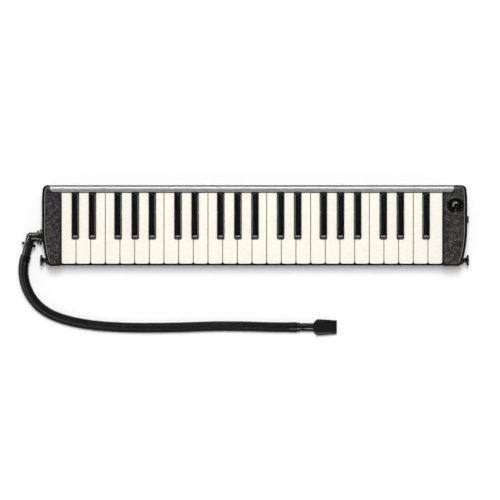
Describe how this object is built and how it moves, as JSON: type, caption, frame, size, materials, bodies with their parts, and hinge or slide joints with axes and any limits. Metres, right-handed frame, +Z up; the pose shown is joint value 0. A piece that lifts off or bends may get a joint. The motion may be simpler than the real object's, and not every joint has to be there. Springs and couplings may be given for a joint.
{
  "type": "melodica",
  "caption": "Keyboard wind instrument: the player blows through a flexible hose and presses piano-style keys that open valves over free reeds.",
  "frame": {"origin": "middle of the body's footprint, on the plane it rests on", "axes": "+X along the keyboard to the treble end, +Y to the rail behind the keys, +Z up"},
  "size_m": [0.6163, 0.2054, 0.0555],
  "materials": {
    "crinkle_black": "crinkle",
    "frame_black": "moulded",
    "cover_black": "moulded",
    "satin_aluminium": "satin",
    "reed_brass": "plain",
    "spring_steel": "bright",
    "black_steel": "blackened",
    "strap_black": "grained",
    "pickup_steel": "bright",
    "satin_black": "satin",
    "hose_rubber": "ribbed",
    "gloss_black": "gloss",
    "white_key": "gloss",
    "black_key": "gloss"
  },
  "bodies": {
    "instrument_body": {"upper_case": "crinkle_black", "chamber_frame": "frame_black", "bottom_cover": "cover_black", "top_rail": "satin_aluminium", "reed_plates": "reed_brass", "pivot_rod": "spring_steel", "return_springs": "spring_steel", "case_screws": "black_steel", "strap_fittings": "strap_black", "pickup_unit": "pickup_steel"},
    "blow_elbow": {"blow_elbow": "satin_black", "hose": "hose_rubber"},
    "hose_end": {"hose_tip": "gloss_black"},
    "mouthpiece": {"mouthpiece": "satin_black"},
    "volume_dial": {"volume_knob": "gloss_black"},
    "drain_button": {"drain_button": "satin_black"},
    "key_01_c": {"key_01_c": "white_key"},
    "key_02_c_sharp": {"key_02_c_sharp": "black_key"},
    "key_03_d": {"key_03_d": "white_key"},
    "key_04_d_sharp": {"key_04_d_sharp": "black_key"},
    "key_05_e": {"key_05_e": "white_key"},
    "key_06_f": {"key_06_f": "white_key"},
    "key_07_f_sharp": {"key_07_f_sharp": "black_key"},
    "key_08_g": {"key_08_g": "white_key"},
    "key_09_g_sharp": {"key_09_g_sharp": "black_key"},
    "key_10_a": {"key_10_a": "white_key"},
    "key_11_a_sharp": {"key_11_a_sharp": "black_key"},
    "key_12_b": {"key_12_b": "white_key"},
    "key_13_c": {"key_13_c": "white_key"},
    "key_14_c_sharp": {"key_14_c_sharp": "black_key"},
    "key_15_d": {"key_15_d": "white_key"},
    "key_16_d_sharp": {"key_16_d_sharp": "black_key"},
    "key_17_e": {"key_17_e": "white_key"},
    "key_18_f": {"key_18_f": "white_key"},
    "key_19_f_sharp": {"key_19_f_sharp": "black_key"},
    "key_20_g": {"key_20_g": "white_key"},
    "key_21_g_sharp": {"key_21_g_sharp": "black_key"},
    "key_22_a": {"key_22_a": "white_key"},
    "key_23_a_sharp": {"key_23_a_sharp": "black_key"},
    "key_24_b": {"key_24_b": "white_key"},
    "key_25_c": {"key_25_c": "white_key"},
    "key_26_c_sharp": {"key_26_c_sharp": "black_key"},
    "key_27_d": {"key_27_d": "white_key"},
    "key_28_d_sharp": {"key_28_d_sharp": "black_key"},
    "key_29_e": {"key_29_e": "white_key"},
    "key_30_f": {"key_30_f": "white_key"},
    "key_31_f_sharp": {"key_31_f_sharp": "black_key"},
    "key_32_g": {"key_32_g": "white_key"},
    "key_33_g_sharp": {"key_33_g_sharp": "black_key"},
    "key_34_a": {"key_34_a": "white_key"},
    "key_35_a_sharp": {"key_35_a_sharp": "black_key"},
    "key_36_b": {"key_36_b": "white_key"},
    "key_37_c": {"key_37_c": "white_key"},
    "key_38_c_sharp": {"key_38_c_sharp": "black_key"},
    "key_39_d": {"key_39_d": "white_key"},
    "key_40_d_sharp": {"key_40_d_sharp": "black_key"},
    "key_41_e": {"key_41_e": "white_key"},
    "key_42_f": {"key_42_f": "white_key"},
    "key_43_f_sharp": {"key_43_f_sharp": "black_key"},
    "key_44_g": {"key_44_g": "white_key"}
  },
  "joints": [
    {"name": "blow_elbow_turn", "type": "hinge", "parent": "instrument_body", "child": "blow_elbow", "pos_m": [-0.2915, -0.0162, 0.018], "axis": [1, 0, 0], "continuous": true},
    {"name": "blow_hose_flex", "type": "hinge", "parent": "blow_elbow", "child": "hose_end", "pos_m": [-0.085, -0.1385, 0.0071], "axis": [0, 0, 1], "range_deg": [-40, 8], "stiffness_Nm_per_rad": 0.05, "deforming": ["hose"]},
    {"name": "blow_mouthpiece_turn", "type": "hinge", "parent": "hose_end", "child": "mouthpiece", "pos_m": [0.058, -0.1396, 0.0071], "axis": [1, 0, 0], "continuous": true},
    {"name": "dial_turn", "type": "hinge", "parent": "instrument_body", "child": "volume_dial", "pos_m": [0.2742, 0.0268, 0.0475], "axis": [0, 0, 1], "range_deg": [-135, 135]},
    {"name": "drain_press", "type": "slide", "parent": "instrument_body", "child": "drain_button", "axis": [0, 0, 1], "range_m": [0, 0.002], "stiffness_N_per_m": 400, "springref_m": -0.004, "deforming": ["return_springs"]},
    {"name": "key_01_c_press", "type": "hinge", "parent": "instrument_body", "child": "key_01_c", "pos_m": [0, 0.018, 0.034], "axis": [1, 0, 0], "range_deg": [0, 3.3], "stiffness_Nm_per_rad": 0.2, "springref_deg": -11.46, "deforming": ["return_springs"]},
    {"name": "key_02_c_sharp_press", "type": "hinge", "parent": "instrument_body", "child": "key_02_c_sharp", "pos_m": [0, 0.018, 0.034], "axis": [1, 0, 0], "range_deg": [0, 4.5], "stiffness_Nm_per_rad": 0.2, "springref_deg": -11.46, "deforming": ["return_springs"]},
    {"name": "key_03_d_press", "type": "hinge", "parent": "instrument_body", "child": "key_03_d", "pos_m": [0, 0.018, 0.034], "axis": [1, 0, 0], "range_deg": [0, 3.3], "stiffness_Nm_per_rad": 0.2, "springref_deg": -11.46, "deforming": ["return_springs"]},
    {"name": "key_04_d_sharp_press", "type": "hinge", "parent": "instrument_body", "child": "key_04_d_sharp", "pos_m": [0, 0.018, 0.034], "axis": [1, 0, 0], "range_deg": [0, 4.5], "stiffness_Nm_per_rad": 0.2, "springref_deg": -11.46, "deforming": ["return_springs"]},
    {"name": "key_05_e_press", "type": "hinge", "parent": "instrument_body", "child": "key_05_e", "pos_m": [0, 0.018, 0.034], "axis": [1, 0, 0], "range_deg": [0, 3.3], "stiffness_Nm_per_rad": 0.2, "springref_deg": -11.46, "deforming": ["return_springs"]},
    {"name": "key_06_f_press", "type": "hinge", "parent": "instrument_body", "child": "key_06_f", "pos_m": [0, 0.018, 0.034], "axis": [1, 0, 0], "range_deg": [0, 3.3], "stiffness_Nm_per_rad": 0.2, "springref_deg": -11.46, "deforming": ["return_springs"]},
    {"name": "key_07_f_sharp_press", "type": "hinge", "parent": "instrument_body", "child": "key_07_f_sharp", "pos_m": [0, 0.018, 0.034], "axis": [1, 0, 0], "range_deg": [0, 4.5], "stiffness_Nm_per_rad": 0.2, "springref_deg": -11.46, "deforming": ["return_springs"]},
    {"name": "key_08_g_press", "type": "hinge", "parent": "instrument_body", "child": "key_08_g", "pos_m": [0, 0.018, 0.034], "axis": [1, 0, 0], "range_deg": [0, 3.3], "stiffness_Nm_per_rad": 0.2, "springref_deg": -11.46, "deforming": ["return_springs"]},
    {"name": "key_09_g_sharp_press", "type": "hinge", "parent": "instrument_body", "child": "key_09_g_sharp", "pos_m": [0, 0.018, 0.034], "axis": [1, 0, 0], "range_deg": [0, 4.5], "stiffness_Nm_per_rad": 0.2, "springref_deg": -11.46, "deforming": ["return_springs"]},
    {"name": "key_10_a_press", "type": "hinge", "parent": "instrument_body", "child": "key_10_a", "pos_m": [0, 0.018, 0.034], "axis": [1, 0, 0], "range_deg": [0, 3.3], "stiffness_Nm_per_rad": 0.2, "springref_deg": -11.46, "deforming": ["return_springs"]},
    {"name": "key_11_a_sharp_press", "type": "hinge", "parent": "instrument_body", "child": "key_11_a_sharp", "pos_m": [0, 0.018, 0.034], "axis": [1, 0, 0], "range_deg": [0, 4.5], "stiffness_Nm_per_rad": 0.2, "springref_deg": -11.46, "deforming": ["return_springs"]},
    {"name": "key_12_b_press", "type": "hinge", "parent": "instrument_body", "child": "key_12_b", "pos_m": [0, 0.018, 0.034], "axis": [1, 0, 0], "range_deg": [0, 3.3], "stiffness_Nm_per_rad": 0.2, "springref_deg": -11.46, "deforming": ["return_springs"]},
    {"name": "key_13_c_press", "type": "hinge", "parent": "instrument_body", "child": "key_13_c", "pos_m": [0, 0.018, 0.034], "axis": [1, 0, 0], "range_deg": [0, 3.3], "stiffness_Nm_per_rad": 0.2, "springref_deg": -11.46, "deforming": ["return_springs"]},
    {"name": "key_14_c_sharp_press", "type": "hinge", "parent": "instrument_body", "child": "key_14_c_sharp", "pos_m": [0, 0.018, 0.034], "axis": [1, 0, 0], "range_deg": [0, 4.5], "stiffness_Nm_per_rad": 0.2, "springref_deg": -11.46, "deforming": ["return_springs"]},
    {"name": "key_15_d_press", "type": "hinge", "parent": "instrument_body", "child": "key_15_d", "pos_m": [0, 0.018, 0.034], "axis": [1, 0, 0], "range_deg": [0, 3.3], "stiffness_Nm_per_rad": 0.2, "springref_deg": -11.46, "deforming": ["return_springs"]},
    {"name": "key_16_d_sharp_press", "type": "hinge", "parent": "instrument_body", "child": "key_16_d_sharp", "pos_m": [0, 0.018, 0.034], "axis": [1, 0, 0], "range_deg": [0, 4.5], "stiffness_Nm_per_rad": 0.2, "springref_deg": -11.46, "deforming": ["return_springs"]},
    {"name": "key_17_e_press", "type": "hinge", "parent": "instrument_body", "child": "key_17_e", "pos_m": [0, 0.018, 0.034], "axis": [1, 0, 0], "range_deg": [0, 3.3], "stiffness_Nm_per_rad": 0.2, "springref_deg": -11.46, "deforming": ["return_springs"]},
    {"name": "key_18_f_press", "type": "hinge", "parent": "instrument_body", "child": "key_18_f", "pos_m": [0, 0.018, 0.034], "axis": [1, 0, 0], "range_deg": [0, 3.3], "stiffness_Nm_per_rad": 0.2, "springref_deg": -11.46, "deforming": ["return_springs"]},
    {"name": "key_19_f_sharp_press", "type": "hinge", "parent": "instrument_body", "child": "key_19_f_sharp", "pos_m": [0, 0.018, 0.034], "axis": [1, 0, 0], "range_deg": [0, 4.5], "stiffness_Nm_per_rad": 0.2, "springref_deg": -11.46, "deforming": ["return_springs"]},
    {"name": "key_20_g_press", "type": "hinge", "parent": "instrument_body", "child": "key_20_g", "pos_m": [0, 0.018, 0.034], "axis": [1, 0, 0], "range_deg": [0, 3.3], "stiffness_Nm_per_rad": 0.2, "springref_deg": -11.46, "deforming": ["return_springs"]},
    {"name": "key_21_g_sharp_press", "type": "hinge", "parent": "instrument_body", "child": "key_21_g_sharp", "pos_m": [0, 0.018, 0.034], "axis": [1, 0, 0], "range_deg": [0, 4.5], "stiffness_Nm_per_rad": 0.2, "springref_deg": -11.46, "deforming": ["return_springs"]},
    {"name": "key_22_a_press", "type": "hinge", "parent": "instrument_body", "child": "key_22_a", "pos_m": [0, 0.018, 0.034], "axis": [1, 0, 0], "range_deg": [0, 3.3], "stiffness_Nm_per_rad": 0.2, "springref_deg": -11.46, "deforming": ["return_springs"]},
    {"name": "key_23_a_sharp_press", "type": "hinge", "parent": "instrument_body", "child": "key_23_a_sharp", "pos_m": [0, 0.018, 0.034], "axis": [1, 0, 0], "range_deg": [0, 4.5], "stiffness_Nm_per_rad": 0.2, "springref_deg": -11.46, "deforming": ["return_springs"]},
    {"name": "key_24_b_press", "type": "hinge", "parent": "instrument_body", "child": "key_24_b", "pos_m": [0, 0.018, 0.034], "axis": [1, 0, 0], "range_deg": [0, 3.3], "stiffness_Nm_per_rad": 0.2, "springref_deg": -11.46, "deforming": ["return_springs"]},
    {"name": "key_25_c_press", "type": "hinge", "parent": "instrument_body", "child": "key_25_c", "pos_m": [0, 0.018, 0.034], "axis": [1, 0, 0], "range_deg": [0, 3.3], "stiffness_Nm_per_rad": 0.2, "springref_deg": -11.46, "deforming": ["return_springs"]},
    {"name": "key_26_c_sharp_press", "type": "hinge", "parent": "instrument_body", "child": "key_26_c_sharp", "pos_m": [0, 0.018, 0.034], "axis": [1, 0, 0], "range_deg": [0, 4.5], "stiffness_Nm_per_rad": 0.2, "springref_deg": -11.46, "deforming": ["return_springs"]},
    {"name": "key_27_d_press", "type": "hinge", "parent": "instrument_body", "child": "key_27_d", "pos_m": [0, 0.018, 0.034], "axis": [1, 0, 0], "range_deg": [0, 3.3], "stiffness_Nm_per_rad": 0.2, "springref_deg": -11.46, "deforming": ["return_springs"]},
    {"name": "key_28_d_sharp_press", "type": "hinge", "parent": "instrument_body", "child": "key_28_d_sharp", "pos_m": [0, 0.018, 0.034], "axis": [1, 0, 0], "range_deg": [0, 4.5], "stiffness_Nm_per_rad": 0.2, "springref_deg": -11.46, "deforming": ["return_springs"]},
    {"name": "key_29_e_press", "type": "hinge", "parent": "instrument_body", "child": "key_29_e", "pos_m": [0, 0.018, 0.034], "axis": [1, 0, 0], "range_deg": [0, 3.3], "stiffness_Nm_per_rad": 0.2, "springref_deg": -11.46, "deforming": ["return_springs"]},
    {"name": "key_30_f_press", "type": "hinge", "parent": "instrument_body", "child": "key_30_f", "pos_m": [0, 0.018, 0.034], "axis": [1, 0, 0], "range_deg": [0, 3.3], "stiffness_Nm_per_rad": 0.2, "springref_deg": -11.46, "deforming": ["return_springs"]},
    {"name": "key_31_f_sharp_press", "type": "hinge", "parent": "instrument_body", "child": "key_31_f_sharp", "pos_m": [0, 0.018, 0.034], "axis": [1, 0, 0], "range_deg": [0, 4.5], "stiffness_Nm_per_rad": 0.2, "springref_deg": -11.46, "deforming": ["return_springs"]},
    {"name": "key_32_g_press", "type": "hinge", "parent": "instrument_body", "child": "key_32_g", "pos_m": [0, 0.018, 0.034], "axis": [1, 0, 0], "range_deg": [0, 3.3], "stiffness_Nm_per_rad": 0.2, "springref_deg": -11.46, "deforming": ["return_springs"]},
    {"name": "key_33_g_sharp_press", "type": "hinge", "parent": "instrument_body", "child": "key_33_g_sharp", "pos_m": [0, 0.018, 0.034], "axis": [1, 0, 0], "range_deg": [0, 4.5], "stiffness_Nm_per_rad": 0.2, "springref_deg": -11.46, "deforming": ["return_springs"]},
    {"name": "key_34_a_press", "type": "hinge", "parent": "instrument_body", "child": "key_34_a", "pos_m": [0, 0.018, 0.034], "axis": [1, 0, 0], "range_deg": [0, 3.3], "stiffness_Nm_per_rad": 0.2, "springref_deg": -11.46, "deforming": ["return_springs"]},
    {"name": "key_35_a_sharp_press", "type": "hinge", "parent": "instrument_body", "child": "key_35_a_sharp", "pos_m": [0, 0.018, 0.034], "axis": [1, 0, 0], "range_deg": [0, 4.5], "stiffness_Nm_per_rad": 0.2, "springref_deg": -11.46, "deforming": ["return_springs"]},
    {"name": "key_36_b_press", "type": "hinge", "parent": "instrument_body", "child": "key_36_b", "pos_m": [0, 0.018, 0.034], "axis": [1, 0, 0], "range_deg": [0, 3.3], "stiffness_Nm_per_rad": 0.2, "springref_deg": -11.46, "deforming": ["return_springs"]},
    {"name": "key_37_c_press", "type": "hinge", "parent": "instrument_body", "child": "key_37_c", "pos_m": [0, 0.018, 0.034], "axis": [1, 0, 0], "range_deg": [0, 3.3], "stiffness_Nm_per_rad": 0.2, "springref_deg": -11.46, "deforming": ["return_springs"]},
    {"name": "key_38_c_sharp_press", "type": "hinge", "parent": "instrument_body", "child": "key_38_c_sharp", "pos_m": [0, 0.018, 0.034], "axis": [1, 0, 0], "range_deg": [0, 4.5], "stiffness_Nm_per_rad": 0.2, "springref_deg": -11.46, "deforming": ["return_springs"]},
    {"name": "key_39_d_press", "type": "hinge", "parent": "instrument_body", "child": "key_39_d", "pos_m": [0, 0.018, 0.034], "axis": [1, 0, 0], "range_deg": [0, 3.3], "stiffness_Nm_per_rad": 0.2, "springref_deg": -11.46, "deforming": ["return_springs"]},
    {"name": "key_40_d_sharp_press", "type": "hinge", "parent": "instrument_body", "child": "key_40_d_sharp", "pos_m": [0, 0.018, 0.034], "axis": [1, 0, 0], "range_deg": [0, 4.5], "stiffness_Nm_per_rad": 0.2, "springref_deg": -11.46, "deforming": ["return_springs"]},
    {"name": "key_41_e_press", "type": "hinge", "parent": "instrument_body", "child": "key_41_e", "pos_m": [0, 0.018, 0.034], "axis": [1, 0, 0], "range_deg": [0, 3.3], "stiffness_Nm_per_rad": 0.2, "springref_deg": -11.46, "deforming": ["return_springs"]},
    {"name": "key_42_f_press", "type": "hinge", "parent": "instrument_body", "child": "key_42_f", "pos_m": [0, 0.018, 0.034], "axis": [1, 0, 0], "range_deg": [0, 3.3], "stiffness_Nm_per_rad": 0.2, "springref_deg": -11.46, "deforming": ["return_springs"]},
    {"name": "key_43_f_sharp_press", "type": "hinge", "parent": "instrument_body", "child": "key_43_f_sharp", "pos_m": [0, 0.018, 0.034], "axis": [1, 0, 0], "range_deg": [0, 4.5], "stiffness_Nm_per_rad": 0.2, "springref_deg": -11.46, "deforming": ["return_springs"]},
    {"name": "key_44_g_press", "type": "hinge", "parent": "instrument_body", "child": "key_44_g", "pos_m": [0, 0.018, 0.034], "axis": [1, 0, 0], "range_deg": [0, 3.3], "stiffness_Nm_per_rad": 0.2, "springref_deg": -11.46, "deforming": ["return_springs"]}
  ]
}
